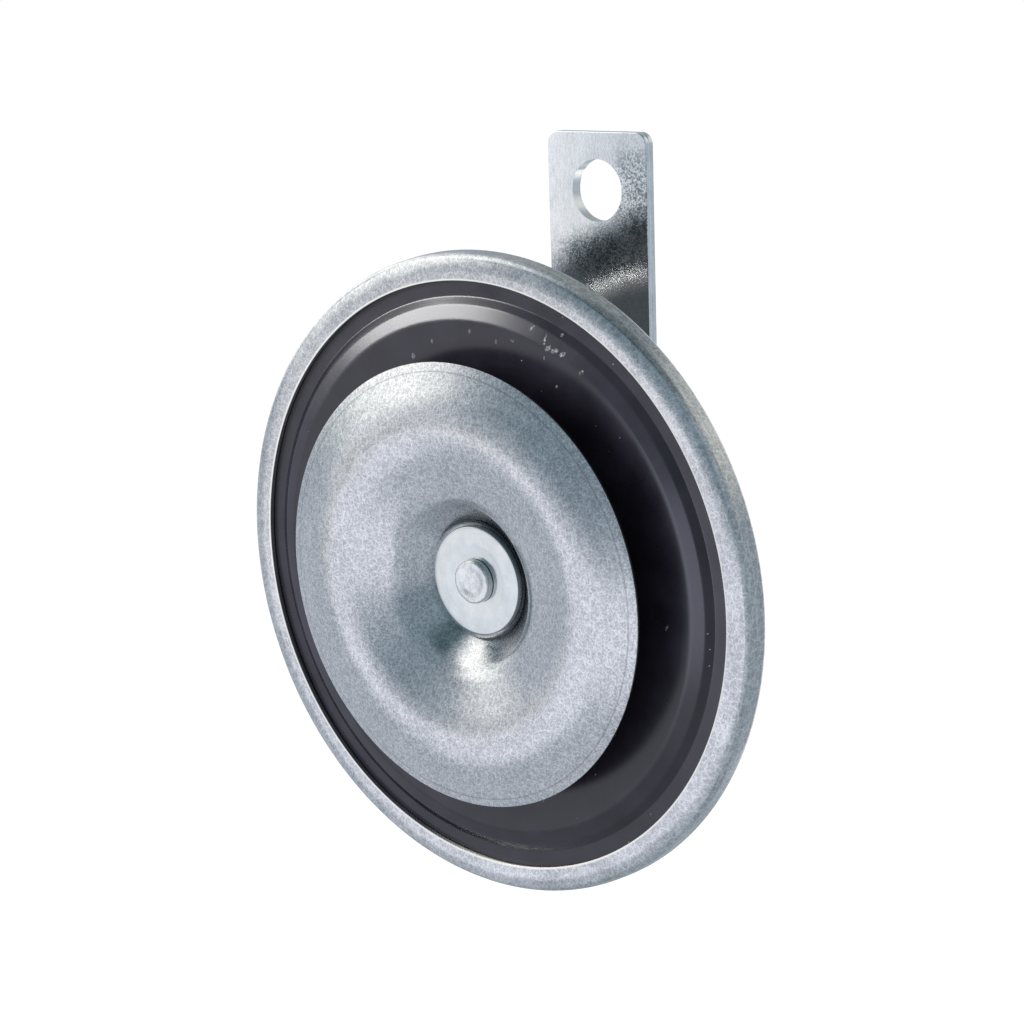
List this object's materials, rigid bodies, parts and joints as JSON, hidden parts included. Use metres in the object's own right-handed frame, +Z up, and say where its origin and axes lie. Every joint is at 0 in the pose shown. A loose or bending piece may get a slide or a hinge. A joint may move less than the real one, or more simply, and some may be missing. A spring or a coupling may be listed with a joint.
{
  "type": "car horn",
  "caption": "Electromagnetic disc horn: drawn steel housing with a crimped rim, dished tone disc, two blade terminals and a two-leaf strap bracket.",
  "frame": {"origin": "centre of the bracket's mounting hole, on the rear face that beds against the car", "axes": "+Y along the mounting hole, rearwards out of the horn; +Z up the bracket, away from the horn; +X to the right seen from the front"},
  "size_m": [0.0919, 0.0483, 0.1058],
  "materials": {
    "galvanised": "galvanised, fine spangle",
    "bright_zinc": "bright zinc plate",
    "bracket_zinc": "zinc plated strip, lightly brushed",
    "black_paint": "satin black paint",
    "gasket_rubber": "matt",
    "soft_iron": "turned",
    "bronze": "rolled",
    "tungsten": "ground",
    "fibre": "matt",
    "bobbin_nylon": "satin",
    "copper_wire": "enamelled",
    "black_moulding": "satin",
    "tinned_brass": "tin plated"
  },
  "bodies": {
    "root": {"crimp_ring": "galvanised", "tone_disc": "galvanised", "front_washer": "bright_zinc", "tone_disc_spacer": "bright_zinc", "backing_washer": "bright_zinc", "diaphragm": "black_paint", "rear_housing": "black_paint", "rim_gasket": "gasket_rubber", "armature": "soft_iron", "core_stud": "soft_iron", "pole_plate": "soft_iron", "coil_bobbin": "bobbin_nylon", "coil_winding": "copper_wire", "pole_plate_rivets": "bright_zinc", "breaker_rivets": "bright_zinc", "breaker_clamp_plate": "bright_zinc", "breaker_insulators": "fibre", "adjusting_pad": "fibre", "terminal_washers": "fibre", "contact_spring": "bronze", "fixed_contact_blade": "bronze", "moving_contact": "tungsten", "fixed_contact": "tungsten", "adjusting_screw": "bright_zinc", "adjusting_lock_nut": "bright_zinc", "terminal_block": "black_moulding", "terminal_blade_left": "tinned_brass", "terminal_blade_right": "tinned_brass", "terminal_rivets": "tinned_brass", "lead_coil_to_terminal": "copper_wire", "lead_coil_to_spring": "copper_wire", "lead_blade_to_terminal": "copper_wire", "bracket_leaf_front": "bracket_zinc", "bracket_leaf_rear": "bracket_zinc", "bracket_lock_washer": "bracket_zinc", "bracket_nut": "bracket_zinc"}
  },
  "joints": []
}
